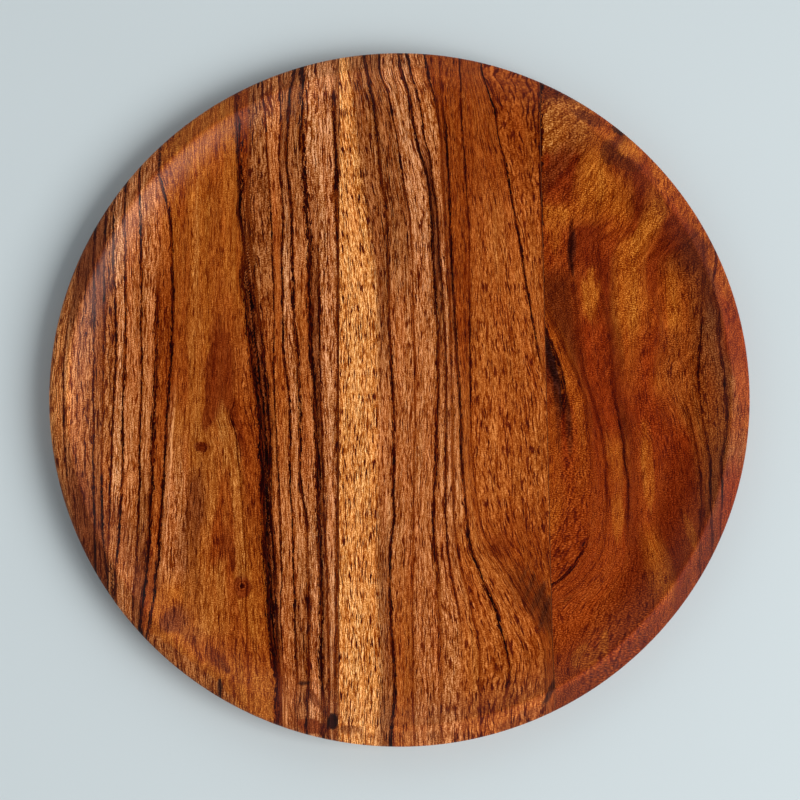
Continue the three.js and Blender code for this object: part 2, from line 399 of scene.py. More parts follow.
MIDDLE_LINES = [
    ([(150, -23), (140, -22), (130, -20.2), (120, -19.8), (100, -17.3), (90, -16.2), (80, -14.4),
      (70, -12.8), (60, -11.5), (40, -10), (0, -9.5), (-40, -9.2), (-80, -9.5), (-120, -8.2),
      (-150, -9.2)], 0.4, NO_INK,
     [(30, BROWN), (0, HONEY), (-40, HONEY), (-70, BROWN)]),
    ([(150, -15.2), (140, -14.4), (131, -12.6), (124, -11), (110, -9.5), (97, -8.3), (87, -6.8),
      (79, -5.8), (60, -5.2), (30, -4.2), (14, -3.7), (0, -2.8), (-20, -2.2), (-40, -2.6), (-56, -2.6),
      (-62, -3.4), (-90, -3.8), (-110, -2.8), (-130, -2.1), (-145, -3.4)], 0.6,
     [(118, 80), (105, 50), (30, 40), (20, 90), (-145, 100)],
     [(60, BROWN), (30, HONEY), (-60, HONEY), (-100, ORANGE)]),
    ([(150, -8.8), (140, -8.3), (132, -5), (124, -3.2), (110, -0.7), (97, 1.2), (82, 3.7), (72, 4.8),
      (40, 6), (0, 6.5), (-50, 6), (-100, 5.5), (-150, 6)], 0.4,
     [(150, 85), (100, 80), (80, 50), (60, 30), (-150, 20)], [(60, TAN), (20, HONEY)]),
    ([(150, -0.4), (145, -0.2), (139, 1.2), (134, 3.3), (128, 4.8), (121, 5.9), (115, 7), (107, 8.4),
      (100, 10.6), (94, 12), (87, 13.1), (80, 13.8), (64, 14.6), (50, 15.1), (40, 15.6), (30, 16.3),
      (10, 16.6), (-10, 16.2), (-30, 15.5), (-50, 14.5), (-60, 14.7), (-70, 15.3), (-80, 16.4),
      (-100, 17.5)], 0.75,
     [(150, 95), (50, 100), (30, 80), (-75, 70), (-88, 15)],
     [(115, TAN), (100, UMBER), (50, UMBER), (36, BROWN), (20, HONEY)]),
    ([(149, 3), (138, 5.5), (127, 8.8), (121, 9.9), (113, 10.9), (103, 13.5), (95, 14.3), (87, 15.4),
      (79, 16.1), (60, 17.2), (40, 18.6), (20, 19.6), (0, 19.9), (-40, 19.6), (-60, 20.2), (-77, 21.7),
      (-88, 24), (-95, 25.3), (-120, 26.5)], 0.55,
     [(150, 85), (70, 90), (50, 75), (30, 60), (-60, 70), (-92, 50), (-100, 5)],
     [(120, HONEY), (60, TAN), (-40, TAN), (-60, HONEY), (-100, ORANGE)]),
    ([(149, 10.6), (143, 11.7), (137, 12.8), (133, 14.2), (128, 15.6), (122, 16.6), (112, 18), (100, 18.8),
      (80, 19.6), (60, 20.6), (40, 21.6), (0, 22.6), (-40, 23), (-70, 25), (-90, 30),
      (-110, 34)], 0.6,
     [(150, 85), (130, 90), (118, 50), (110, 30), (50, 40), (0, 30)],
     [(100, RUST), (75, ORANGE), (0, HONEY), (-40, HONEY), (-65, ORANGE)]),
    ([(150, 17), (130, 18.6), (118, 19.6), (105, 20.7), (88, 21.5), (64, 22.3), (50, 22.9), (30, 23.9),
      (20, 24.6), (7, 25.6), (-20, 26.3), (-40, 27.5), (-50, 28.5), (-63, 29.5), (-69, 30.6), (-75, 33.4),
      (-82, 35.7), (-88, 38.5), (-98, 42), (-110, 45.5), (-117, 46.2), (-124, 45.7),
      (-130, 44)], 0.6,
     [(130, 20), (118, 95), (45, 100), (20, 90), (-30, 100), (-105, 100), (-115, 70), (-135, 10)],
     [(20, RUST), (0, ORANGE)]),
    ([(150, 26), (120, 27.2), (100, 28.6), (80, 29.8), (50, 30.2), (0, 30.5), (-20, 30.6), (-45, 33),
      (-60, 36), (-70, 41), (-80, 47), (-90, 53), (-100, 58), (-110, 61)], 0.35,
     [(130, 60), (95, 70), (60, 30), (5, 80), (-8, 80), (-20, 30), (-60, 20)],
     [(95, RUST), (75, ORANGE), (-45, ORANGE), (-65, RUST)]),
    ([(146, 35.8), (138, 36.3), (135, 37.6), (130, 39.4), (125, 41.2), (113, 43.3), (102, 45.9), (90, 48),
      (79, 50), (67, 52), (55, 53.8), (39, 56), (27, 58.1), (15, 60.3), (0, 63), (-40, 66),
      (-150, 72)], 0.45,
     [(146, 100), (100, 80), (92, 120), (86, 120), (75, 80), (46, 120), (20, 90), (10, 40), (3, 0)],
     [(105, RUST), (70, ORANGE)]),
    ([(135, 60.6), (100, 61.2), (65, 62), (0, 65), (-40, 68), (-150, 74)], 0.35,
     [(138, 0), (130, 50), (70, 40), (58, 0)], [(0, RUST)]),
]

MIDDLE_PATCHES = [
    (56, -88, 5.5, 15, 32, 80, 65, COFFEE),
    (61.5, -93, 2.4, 8, 12, 90, 70, BLACK),
    (52.6, -78.5, 0.8, 3.6, -24, 80, 60, BLACK),
    (55.2, -83.5, 0.9, 5, -20, 80, 70, BLACK),
    (57, -89.5, 0.8, 4.2, -14, 80, 70, BLACK),
    (59.4, -87, 1, 5.4, -21, 80, 80, BLACK),
    (60.4, -96, 0.9, 4.8, -12, 80, 80, BLACK),
    (62.3, -91.5, 0.9, 4, -18, 80, 85, BLACK),
    (63, -127, 1.2, 8, -25, 50, 85, BLACK),
    (-20.5, -142.8, 5.2, 1.9, 0, 50, 75, UMBER),
    (8, -146, 2.6, 26, 90, 60, 50, BROWN),
    (54, -138, 3, 14, -68, 60, 60, UMBER),
    (43, -66, 5, 6, 0, 60, 70, FLAME),
    (52, 118, 7, 14, 0, 60, 60, RUST),
]

MIDDLE_FIGURE = Figure(
    first=[(0, SAP)],
    lines=[Line(*row) for row in MIDDLE_LINES],
    patches=[Patch(*row) for row in MIDDLE_PATCHES],
    knots=[],
    slant=-0.3,
    blend=1.4,
)

RIGHT_LINES = [
    ([(30, 61.5), (12, 61.8), (5, 64.3), (0, 65.3), (-5, 66.3), (-12, 67), (-30, 67.5), (-45, 66),
      (-60, 62), (-75, 56)], 0.6, NO_INK,
     [(6, BLACK), (-4, COFFEE), (-15, CLARET), (-35, EMBER), (-60, AMBER)]),
    ([(45, 55), (27, 62.6), (20, 65.8), (10, 69.3), (0, 71), (-10, 70.3), (-33, 70), (-50, 68), (-60, 63),
      (-75, 57)], 0.8,
     [(0, 70), (-8, 40), (-20, 0)], [(0, AMBER), (-8, RED), (-25, RED), (-36, EMBER), (-50, AMBER)]),
    ([(50, 58), (27, 63.6), (10, 70), (2, 71.6), (-5, 72.8), (-15, 74.2), (-25, 74.3), (-35, 73),
      (-50, 70), (-62, 65), (-75, 58)], 0.6, NO_INK,
     [(0, AMBER), (-60, EMBER)]),
    ([(60, 55), (45, 60.5), (38, 62.8), (31, 66), (25, 69), (20, 71), (15, 73), (10, 75.3), (5, 77),
      (0, 79), (-5, 80), (-20, 81), (-40, 82), (-55, 80), (-65, 79), (-72, 75.5), (-77, 71.5), (-81, 67),
      (-84, 62)], 0.8,
     [(10, 20), (-55, 0), (-68, 50), (-80, 80)],
     [(130, COFFEE), (124, STRAW), (112, STRAW), (104, CLARET), (90, CLARET), (84, EMBER), (79, GOLD),
      (70, EMBER), (58, EMBER), (48, COFFEE), (15, COFFEE), (0, CLARET), (-12, CLARET), (-25, RED),
      (-50, EMBER)]),
    ([(125, 84), (112, 82.5), (100, 79), (90, 77), (80, 75.5), (74, 75), (65, 74.3), (55, 74.2),
      (45, 75.2), (35, 76.5), (20, 77.6), (10, 78.8), (5, 80), (0, 82), (-5, 83.5), (-10, 84.6), (-15, 86),
      (-25, 87.7), (-40, 88.6), (-50, 88.4), (-60, 87), (-70, 85), (-78, 80), (-84, 74), (-90, 66),
      (-95, 60)], 0.7,
     [(80, 0), (70, 30), (55, 30), (40, 15), (20, 10), (0, 25), (-40, 30), (-60, 10)],
     [(122, EMBER), (112, AMBER), (100, GOLD), (84, GOLD), (78, AMBER), (72, CLARET), (58, CLARET),
      (48, EMBER), (35, EMBER), (28, RED), (-15, RED), (-25, AMBER), (-45, EMBER)]),
    ([(115, 96), (100, 91), (88, 93), (78, 91), (72, 89), (65, 86.5), (55, 87), (45, 87), (35, 88.5),
      (30, 90), (20, 91), (10, 91.5), (0, 92), (-5, 92.7), (-10, 93.6), (-15, 94.8), (-20, 95.5),
      (-30, 96.7), (-40, 97.5), (-50, 97.2), (-57, 96.4), (-65, 97), (-80, 94), (-90, 89), (-100, 85),
      (-115, 76)], 0.7,
     [(20, 10), (0, 25), (-10, 50), (-45, 55), (-55, 30), (-66, 0)],
     [(104, COFFEE), (99, EMBER), (92, AMBER), (80, GOLD), (74, AMBER), (66, EMBER), (58, CLARET),
      (44, CLARET), (25, COFFEE), (0, CLARET), (-12, COFFEE), (-45, CLARET), (-80, CLARET),
      (-100, EMBER)]),
    ([(112, 99), (100, 98.5), (90, 100), (80, 100), (72, 99), (66, 96), (60, 94), (45, 93), (35, 92.8),
      (25, 94.2), (15, 95.4), (0, 95.8), (-5, 97), (-10, 98), (-20, 99.3), (-30, 100.3), (-40, 101),
      (-50, 100.7), (-60, 102.5), (-70, 105), (-80, 106), (-90, 106), (-100, 104)], 0.6, NO_INK,
     [(104, GOLD), (98, CLARET), (76, CLARET), (71, EMBER), (66, GOLD), (32, GOLD), (24, AMBER),
      (0, EMBER), (-8, RED), (-24, EMBER), (-55, EMBER), (-66, AMBER), (-82, AMBER), (-92, EMBER)]),
    ([(110, 104), (100, 106), (90, 107.5), (80, 107), (72, 105.5), (66, 106), (60, 105), (45, 104.5),
      (35, 104), (25, 103), (15, 102), (5, 101.6), (-5, 102), (-15, 103.8), (-22, 108), (-30, 108.6),
      (-40, 109), (-60, 109.5), (-70, 112.5), (-80, 115), (-90, 115)], 0.6, NO_INK,
     [(105, RED), (92, EMBER), (84, AMBER), (78, GOLD), (72, GOLD), (67, AMBER), (55, EMBER), (40, AMBER),
      (25, EMBER), (14, RED), (-25, RED), (-42, EMBER), (-55, CLARET)]),
    ([(95, 110), (85, 112), (78, 114.5), (72, 112), (66, 110), (58, 108), (50, 107.5), (40, 109),
      (30, 111.5), (20, 109), (10, 109), (0, 108.5), (-10, 111), (-20, 112), (-30, 113), (-50, 112),
      (-60, 113), (-75, 117)], 0.6, NO_INK,
     [(90, AMBER), (82, EMBER), (76, RED), (68, CLARET), (60, CLARET), (45, RED), (36, EMBER), (20, EMBER),
      (6, AMBER), (-4, EMBER), (-20, RED), (-38, CLARET)]),
    ([(85, 120), (76, 120), (66, 118), (58, 114), (50, 113), (40, 113), (30, 114), (20, 114), (10, 112),
      (0, 114.5), (-10, 118), (-20, 120), (-40, 121), (-50, 120.5), (-60, 121.5),
      (-70, 121)], 0.6, NO_INK,
     [(80, EMBER), (72, CLARET), (63, CLARET), (56, MOTTLED), (48, AMBER), (32, AMBER), (24, MOTTLED),
      (-10, MOTTLED), (-20, RED), (-30, CLARET), (-45, CLARET), (-58, EMBER)]),
    ([(70, 126), (60, 120), (50, 121), (40, 122.5), (30, 123), (10, 121.5), (0, 121.5), (-10, 124),
      (-20, 126), (-30, 127.5), (-50, 128), (-60, 127)], 0.5,
     [(0, 0), (-10, 40), (-45, 30)], [(56, COFFEE), (46, MOTTLED), (-45, MOTTLED), (-58, CLARET)]),
    ([(60, 131), (50, 130.5), (40, 130.2), (30, 129.7), (20, 128.8), (0, 128.6), (-10, 129.5),
      (-20, 130.8), (-30, 132), (-42, 131.8), (-55, 132)], 0.5,
     [(36, 20), (30, 60), (15, 60), (0, 40), (-12, 50), (-45, 70), (-60, 30)],
     [(40, COFFEE), (25, BROWN), (0, MOTTLED), (-20, MOTTLED), (-50, UMBER)]),
    ([(57, 136.5), (45, 134.5), (35, 137), (20, 137), (10, 138.5), (0, 139), (-20, 138.8), (-30, 136.5),
      (-42, 136.8), (-55, 136)], 0.5,
     [(58, 50), (40, 30), (5, 40), (-15, 50), (-40, 70), (-50, 30)],
     [(50, BROWN), (40, EMBER), (32, RED), (18, RED), (4, BROWN), (-15, MOTTLED), (-26, BROWN),
      (-40, RED)]),
]

RIGHT_PATCHES = [
    (66.5, 116, 6.5, 11, -25, 60, 80, WHEAT),
    (69.5, 101.5, 3.6, 14, -30, 70, 50, UMBER),
    (65, 133.5, 7, 3, -20, 50, 80, COFFEE),
    (83, 119.5, 8, 2.6, -25, 50, 80, COFFEE),
    (94.5, 114.5, 3.2, 1.6, -35, 50, 85, BLACK),
    (91.5, 105, 4, 5, 0, 55, 85, COFFEE),
    (98, 106, 2.6, 4, -30, 50, 85, GOLD),
    (98, 99.5, 8, 2.6, -25, 50, 70, COFFEE),
    (91, 74, 1.2, 5, -35, 50, 60, EMBER),
    (99.5, 63, 3.4, 6, -35, 50, 80, GOLD),
    (106.5, 71, 3, 9, -42, 50, 85, GOLD),
    (111.5, 78.5, 2.8, 6, -10, 50, 85, GOLD),
    (119.5, 70.5, 5, 7, -30, 80, 35, FLAME),
    (126.5, 60, 4, 7, 25, 50, 60, COFFEE),
    (74.6, 62, 1.7, 12, -2, 90, 80, BLACK),
    (67, 70, 3, 9, 0, 60, 70, AMBER),
    (82.5, 42.5, 3.6, 10, 0, 90, 100, GOLD),
    (117.3, 39, 2, 12, 4, 80, 50, GOLD),
    (106, -32, 2.6, 17, 3, 90, 65, GOLD),
    (92.8, -54, 2.6, 10, 0, 80, 60, GOLD),
    (110, -74, 3, 13, 14, 80, 40, GOLD),
    (123.5, -61, 1.8, 9, 18, 90, 40, GOLD),
    (77, -113, 6, 5, 0, 60, 40, GOLD),
    (86, -107, 2, 6, 0, 50, 50, GOLD),
    (71.5, -88.5, 0.9, 3.2, -55, 50, 60, COFFEE),
    (78.5, -125, 5, 1.8, 30, 50, 70, COFFEE),
    (65.6, 13, 1.5, 14, 14, 45, 100, BLACK),
    (67.8, 0, 1.5, 10, 4, 50, 100, BLACK),
    (68, -14, 0.9, 15, 2, 80, 70, COFFEE),
    (72.5, -14, 1.5, 14, 2, 70, 85, COFFEE),
    (72.6, -12, 0.7, 9, 4, 70, 80, BLACK),
    # These four patches darken the rim on the lower right: partly darker wood and partly painted shade, as
    # the lamp lights this side of the rim more brightly than the real light did.
    (76.5, -126, 4.4, 22, -59, 70, 80, COFFEE),
    (104, -105, 4.4, 24, -45, 70, 65, COFFEE),
    (128, -74, 4.4, 24, -30, 70, 60, COFFEE),
    (141, -42, 4.4, 20, -17, 80, 50, CLARET),
    (146, 12, 4.5, 24, 5, 50, 80, EMBER),
    (138.5, 50, 4, 12, 20, 60, 70, AMBER),
    (121, 85, 4, 22, 35, 60, 80, AMBER),
]

RIGHT_FIGURE = Figure(
    first=[(10, RED), (-20, AMBER)],
    lines=[Line(*row) for row in RIGHT_LINES],
    patches=[Patch(*row) for row in RIGHT_PATCHES],
    knots=[],
    slant=0.5,
    blend=3.0,
)

FAR_GUIDE = 25  # how far the grain goes on beyond the first and the last line
LINE_REACH = 1.5  # how far beyond its half width a line is still told apart
NARROWEST_STRIP = 0.2
PERCENT = 100
KNOT_REACH = 5  # in radii of the knot
PATCH_DEPTH = 8  # how deep patches go into the board
LEAST_COVER = 0.001
RIM_WEAR = 3  # how far inside the crest hands have dulled the rim

# Waves in the border of a patch: height, radians per millimetre across and along the grain, phase.
PATCH_WAVES = [(0.04, 1.9, 0.35, 0), (0.05, 0.8, -0.5, 2), (0.07, 0.35, 0.22, 1)]


def linear(colour):
    """A '#rrggbb' colour as linear red, green and blue."""
    values = np.array([int(colour[start : start + 2], 16) for start in (1, 3, 5)]) / 255
    return np.where(values <= 0.04045, values / 12.92, ((values + 0.055) / 1.055) ** 2.4)


def smooth_step(low, high, value):
    ease = np.clip((value - low) / (high - low), 0, 1)
    return ease * ease * (3 - 2 * ease)


def pick(table, row):
    """For each point, its value in the row that is named for it."""
    return table[row, np.arange(len(row))]


def follow(points, at):
    """A smooth curve through (y, value) points, read at each y. It stays level beyond its ends."""
    place, value = np.array(points[::-1], float).T
    at = np.clip(at, place[0], place[-1])
    slope = np.gradient(value, place)
    left = np.clip(np.searchsorted(place, at, side="right") - 1, 0, len(place) - 2)
    span = place[left + 1] - place[left]
    part = (at - place[left]) / span
    return (
        value[left] * (1 + 2 * part) * (1 - part) ** 2
        + slope[left] * span * part * (1 - part) ** 2
        + value[left + 1] * part * part * (3 - 2 * part)
        + slope[left + 1] * span * part * part * (part - 1)
    )


def tone_values(tone):
    return np.array([*linear(tone.colour), tone.streak, tone.pore])


def tones_along(stations, y):
    """Colour, streak and pore of a strip of wood at each y."""
    places, tones = zip(*stations[::-1])
    values = np.array([tone_values(tone) for tone in tones])
    return np.column_stack([np.interp(y, places, column) for column in values.T])


def guide_places(figure, y):
    """Where each growth line runs at each y, with one more line beyond each end."""
    guides = np.stack([follow(line.path, y) for line in figure.lines])
    guides = np.maximum.accumulate(guides, axis=0)
    return np.vstack([guides[:1] - FAR_GUIDE, guides, guides[-1:] + FAR_GUIDE])


def nearest_line(lines, guides, x, y):
    """For each point, how far the nearest of the lines is, its half width and its ink."""
    offsets = x - guides
    nearest = abs(offsets).argmin(0)
    offset = pick(offsets, nearest)
    width = np.array([line.width for line in lines])[nearest]
    inks = np.stack([np.interp(y, *zip(*line.ink[::-1])) for line in lines])
    ink = pick(inks, nearest) / PERCENT
    return np.column_stack([offset, width, np.where(abs(offset) < width + LINE_REACH, ink, 0)])


def strip_tones(figure, guides, gap, x, y):
    """Colour, streak and pore of the strip between two lines, softened towards its neighbours."""
    strips = [figure.first, *(line.after for line in figure.lines)]
    tones = np.stack([tones_along(strip, y) for strip in strips])
    to_left = 0.5 * (1 - smooth_step(0, figure.blend, x - pick(guides, gap)))[:, None]
    to_right = 0.5 * (1 - smooth_step(0, figure.blend, pick(guides, gap + 1) - x))[:, None]
    left = pick(tones, np.maximum(gap - 1, 0))
    right = pick(tones, np.minimum(gap + 1, len(tones) - 1))
    return pick(tones, gap) * (1 - to_left - to_right) + left * to_left + right * to_right


def patch_weight(patch, x, y):
    """How far a patch covers each point: 1 in its middle and 0 outside."""
    turn = radians(patch.turn)
    across, along = x - patch.x, y - patch.y
    side = (across * cos(turn) + along * sin(turn)) / patch.across
    length = (along * cos(turn) - across * sin(turn)) / patch.along
    waves = sum(high * np.sin(x * by_x + y * by_y + phase) for high, by_x, by_y, phase in PATCH_WAVES)
    soft = patch.soft / PERCENT
    return 1 - smooth_step(1 - soft, 1 + soft, np.hypot(side, length) + waves)


def patched_tones(patches, tone, depth, x, y):
    """The tones with the patches painted on, the paint alone and its cover."""
    painted = tone.copy()
    bare = np.ones((len(x), 1))
    for patch in patches:
        weight = (patch_weight(patch, x, y) * np.exp(-depth / PATCH_DEPTH))[:, None]
        strength = patch.strength / PERCENT
        colour = tone * (1 - strength) + tone_values(patch.tone) * strength
        painted += (colour - painted) * weight
        bare *= 1 - weight
    cover = 1 - bare
    return painted, tone + (painted - tone) / np.maximum(cover, LEAST_COVER), cover


def nearest_knot(knots, x, y):
    """For each point, where it lies beside the nearest knot, in radii, and the knot's ink."""
    if not knots:
        return np.zeros((len(x), 3))
    side = np.stack([(x - knot.x) / knot.radius for knot in knots])
    end = np.stack([(y - knot.y) / knot.radius for knot in knots])
    away = np.hypot(side, end)
    nearest = away.argmin(0)
    ink = np.array([knot.ink for knot in knots])[nearest] / PERCENT
    ink = np.where(pick(away, nearest) < KNOT_REACH, ink, 0)
    return np.column_stack([pick(side, nearest), pick(end, nearest), ink])


def beside_knots(knots, x, y):
    """How far the knots push the grain sideways at each point."""
    push = np.zeros_like(x)
    for knot in knots:
        side, end = x - knot.x, y - knot.y
        push += side * knot.radius**2 / (side**2 + end**2 + knot.radius**2)
    return push


def grain_of(figure, points):
    """The grain at each point of a board, from its figure: attributes for the material."""
    x, y, z = points.T
    radius = np.hypot(x, y)
    depth = np.maximum(np.interp(radius, *TOP.T) - z, 0)
    worn = smooth_step(CREST_RADIUS - RIM_WEAR, CREST_RADIUS, radius)
    knot = nearest_knot(figure.knots, x, y)
    x = x + figure.slant * depth - beside_knots(figure.knots, x, y)
    guides = guide_places(figure, y)
    gap = np.clip((x >= guides).sum(0) - 1, 0, len(guides) - 2)
    left, right = pick(guides, gap), pick(guides, gap + 1)
    share = (x - left) / np.maximum(right - left, NARROWEST_STRIP)
    usual = guides.mean(1)
    across = usual[gap] * (1 - share) + usual[gap + 1] * share
    tone = strip_tones(figure, guides, gap, x, y)
    painted, patched, cover = patched_tones(figure.patches, tone, depth, x, y)
    return {
        "grain": np.column_stack([across, y, depth]),
        "even_line": nearest_line(figure.lines[::2], guides[1:-1:2], x, y),
        "odd_line": nearest_line(figure.lines[1::2], guides[2:-1:2], x, y),
        "knot": knot,
        "traits": np.column_stack([painted[:, 3:], worn]),
        "tone": np.column_stack([tone[:, :3], np.ones(len(x))]),
        "patch": np.column_stack([patched[:, :3], cover]),
    }


def write_grain(piece, figure):
    mesh = piece.data
    points = np.empty(len(mesh.vertices) * 3)
    mesh.vertices.foreach_get("co", points)
    for name, values in grain_of(figure, points.reshape(-1, 3) / MM).items():
        kind, field = ("FLOAT_COLOR", "color") if values.shape[1] == 4 else ("FLOAT_VECTOR", "vector")
        attribute = mesh.attributes.new(name, kind, "POINT")
        attribute.data.foreach_set(field, values.astype(np.float32).ravel())


NOISE_ROUGHNESS = 0.55


class Nodes:
    """Short calls for building a node tree."""

    def __init__(self, tree):
        self.tree = tree
        tree.nodes.clear()

    def add(self, kind, inputs=None, **settings):
        node = self.tree.nodes.new("ShaderNode" + kind)
        for name, value in settings.items():
            setattr(node, name, value)
        for key, value in (inputs or {}).items():
            if isinstance(value, bpy.types.NodeSocket):
                self.tree.links.new(value, node.inputs[key])
            else:
                node.inputs[key].default_value = value
        return node

    def math(self, operation, first, second=0, third=0):
        return self.add("Math", {0: first, 1: second, 2: third}, operation=operation).outputs[0]

    def times(self, first, second):
        return self.math("MULTIPLY", first, second)

    def limit(self, value, low, high):
        return self.math("MINIMUM", self.math("MAXIMUM", value, low), high)

    def total(self, *terms):
        """The sum of (value, weight) terms."""
        result = self.times(*terms[0])
        for value, weight in terms[1:]:
            result = self.math("MULTIPLY_ADD", value, weight, result)
        return result

    def attribute(self, name):
        return self.add("Attribute", attribute_name=name).outputs

    def attribute_parts(self, name):
        return self.parts(self.attribute(name)["Vector"])

    def parts(self, vector):
        return self.add("SeparateXYZ", {0: vector}).outputs

    def join(self, first, second, third=0):
        return self.add("CombineXYZ", {0: first, 1: second, 2: third}).outputs[0]

    def scaled(self, vector, scale):
        return self.add("VectorMath", {0: vector, 1: scale}, operation="MULTIPLY").outputs[0]

    def noise(self, vector, periods, detail=2):
        """Noise about zero, whose features are about as long as the periods along each axis."""
        place = self.scaled(vector, [1 / period for period in periods])
        inputs = {"Vector": place, "Scale": 1, "Detail": detail, "Roughness": NOISE_ROUGHNESS}
        return self.math("SUBTRACT", self.add("TexNoise", inputs).outputs[0], 0.5)

    def cloud(self, periods):
        """Noise that is fixed to the object."""
        return self.noise(self.add("TexCoord").outputs["Object"], periods, detail=3)

    def fade(self, value, start, end, first=0, last=1):
        """From first where value is start to last where it is end, smoothly."""
        inputs = {"Value": value, "From Min": start, "From Max": end, "To Min": first, "To Max": last}
        return self.add("MapRange", inputs, interpolation_type="SMOOTHSTEP").outputs[0]

    def mix(self, share, first, second):
        inputs = {"Factor": share, 6: first, 7: second}
        return self.add("Mix", inputs, data_type="RGBA").outputs[2]

    def clouded(self, cloud, colours):
        """Two colours, mixed by noise about zero."""
        return self.mix(self.math("ADD", cloud, 0.5), *((*colour, 1) for colour in colours))

    def bump(self, height, strength, distance):
        inputs = {"Strength": strength, "Distance": distance * MM, "Height": height}
        return self.add("Bump", inputs).outputs[0]

    def surface(self, colour, roughness, specular, **normal):
        inputs = {"Base Color": colour, "Roughness": roughness, "Specular IOR Level": specular, **normal}
        shader = self.add("BsdfPrincipled", inputs)
        self.add("OutputMaterial", {"Surface": shader.outputs[0]})


def new_material(name):
    """A material without a surface yet, and its nodes."""
    material = bpy.data.materials.new(name)
    material.use_nodes = True
    return material, Nodes(material.node_tree)


# Noise in the wood, by name: how long its features are in millimetres, across the grain, along it and
# into the board, and its detail. Fine noise follows the strands, and leaning noise crosses the grain.
PLAIN_NOISE = {
    "broad": (8, 150, 12, 2),
    "ruddy": (3.5, 45, 8, 2),
    "band": (2.6, 120, 6, 2),
    "pore_band": (1.6, 40, 5, 2),
    "wander": (9, 22, 9, 2),
    "jitter": (1.5, 6, 2, 2),
    "uneven": (2, 12, 3, 2),
    "speckle": (0.4, 0.45, 0.45, 1),
}
FINE_NOISE = {
    "streak": (1, 32, 3, 2),
    "thread": (0.6, 20, 2.5, 1),
    "hair": (0.4, 11, 1.5, 1),
    "fibre": (0.36, 2.4, 0.8, 1),
    "dash": (0.38, 5.5, 1.2, 0),
}
LEANING_NOISE = {
    "curl": (3, 13, 6, 2),
    "fold": (0.8, 7, 3, 1),
}
STRAND_WOBBLE = (2.5, 9, 4)
STRAND_SHIFT = (1.1, 50, 4)

MARK_FADE = (0.07, 0.19)  # where a pore or a thread begins and is full
LINE_EDGE = (1.15, 0.75)  # where a line ends and is full, in half widths
LINE_BREAKS = (0.1, 1.15)  # the faintest and the fullest of a line
THINNEST_LINE = 0.2  # in half widths
COVER_FADE = (0.25, 0.75)  # where a frayed patch begins and is full
BORDER_FADE = (0, 0.3)
KNOT_CORE = (1.1, 0.6)  # where the core ends and is full, in radii
KNOT_RINGS = (3, 1.4)
RING_TURN = 5  # radians in a radius of the knot
RING_START = -8.1
CURL_TURN = radians(30)
CURL_FADE = (-60, 20)  # y where the curl is weakest and full
FOLD_FADE = (30, 70)  # y where small folds begin and are full
DARKEST = -3.8
BRIGHTEST = 0.8
STAIN = [(1, 1, 0), (1.8, 1.53, -0.5), (3.5, 2.4, -0.9)]  # dark, bright and ruddy, by colour
ROUGHNESS = 0.27

# How a board's wood looks beyond its figure: the strength of long streaks, of short fibres and pores,
# of speckle and of the painted sheen of curl, and how far streaks fray the border of a patch.
Look = namedtuple("Look", "streak fibre speckle curl fray")
LEFT_LOOK = Look(1, 1, 1.9, 0.2, 0.55)
MIDDLE_LOOK = Look(1, 1.2, 1.3, 0.3, 1.4)
RIGHT_LOOK = Look(0.3, 0.7, 3.9, 1.6, 0.8)


def wood_noise(n, seed):
    """All the noise in a board's wood, by name, and the place along the grain."""
    across, along, depth = n.attribute_parts("grain")
    place = n.join(n.math("ADD", across, seed), along, depth)
    wobble = n.times(n.noise(place, STRAND_WOBBLE), 1.8)
    shift = n.times(n.noise(place, STRAND_SHIFT), 12)
    fine = n.add("VectorMath", {0: place, 1: n.join(wobble, shift)}, operation="ADD").outputs[0]
    inputs = {"Vector": place, "Angle": CURL_TURN}
    leaning = n.add("VectorRotate", inputs, rotation_type="Z_AXIS").outputs[0]
    grain = SimpleNamespace(along=along)
    for vector, table in ((place, PLAIN_NOISE), (fine, FINE_NOISE), (leaning, LEANING_NOISE)):
        for name, (*size, detail) in table.items():
            setattr(grain, name, n.noise(vector, size, detail))
    return grain


def growth_lines(n, grain):
    """How dark the growth lines make the wood."""
    wander = n.total((grain.wander, 1.3), (grain.jitter, 0.9))
    ragged = n.total((grain.uneven, 3), (grain.fibre, 4), (grain.hair, 2.5), (1, 1))
    ragged = n.math("MAXIMUM", ragged, THINNEST_LINE)
    broken = n.total((grain.streak, 3), (grain.hair, 3.5), (grain.fibre, 2.5), (1, 0.8))
    broken = n.limit(broken, *LINE_BREAKS)

    def growth_line(name):
        offset, width, ink = n.attribute_parts(name)
        away = n.math("ABSOLUTE", n.math("ADD", offset, wander))
        edge = n.times(width, ragged)
        inside = n.fade(away, *(n.times(edge, share) for share in LINE_EDGE))
        return n.times(n.times(inside, ink), broken)

    return n.math("ADD", growth_line("even_line"), growth_line("odd_line"))


def knot_marks(n, grain):
    """The core of a knot and the rings round it."""
    side, end, ink = n.attribute_parts("knot")
    away = n.math("SQRT", n.total((side, side), (end, end)))
    away = n.total((away, 1), (grain.fibre, 0.4), (grain.speckle, 0.4))
    core = n.times(n.fade(away, *KNOT_CORE), ink)
    rings = n.times(n.fade(away, *KNOT_RINGS), ink)
    return core, n.times(n.math("COSINE", n.total((away, RING_TURN), (1, RING_START))), rings)


def curly_sheen(n, grain):
    """The painted sheen of curls and small folds that lean across the grain."""
    lively = n.total((n.fade(grain.along, *CURL_FADE), 0.7), (1, 0.3))
    curl = n.times(grain.curl, lively)
    return n.math("MULTIPLY_ADD", grain.fold, n.fade(grain.along, *FOLD_FADE), curl)


def stain(n, grain, light):
    """What light above or below zero multiplies red, green and blue by."""
    dark = n.limit(light, DARKEST, 0)
    bright = n.limit(light, 0, BRIGHTEST)
    terms = (dark, bright, grain.ruddy)
    return n.join(*(n.math("EXPONENT", n.total(*zip(terms, weights))) for weights in STAIN))


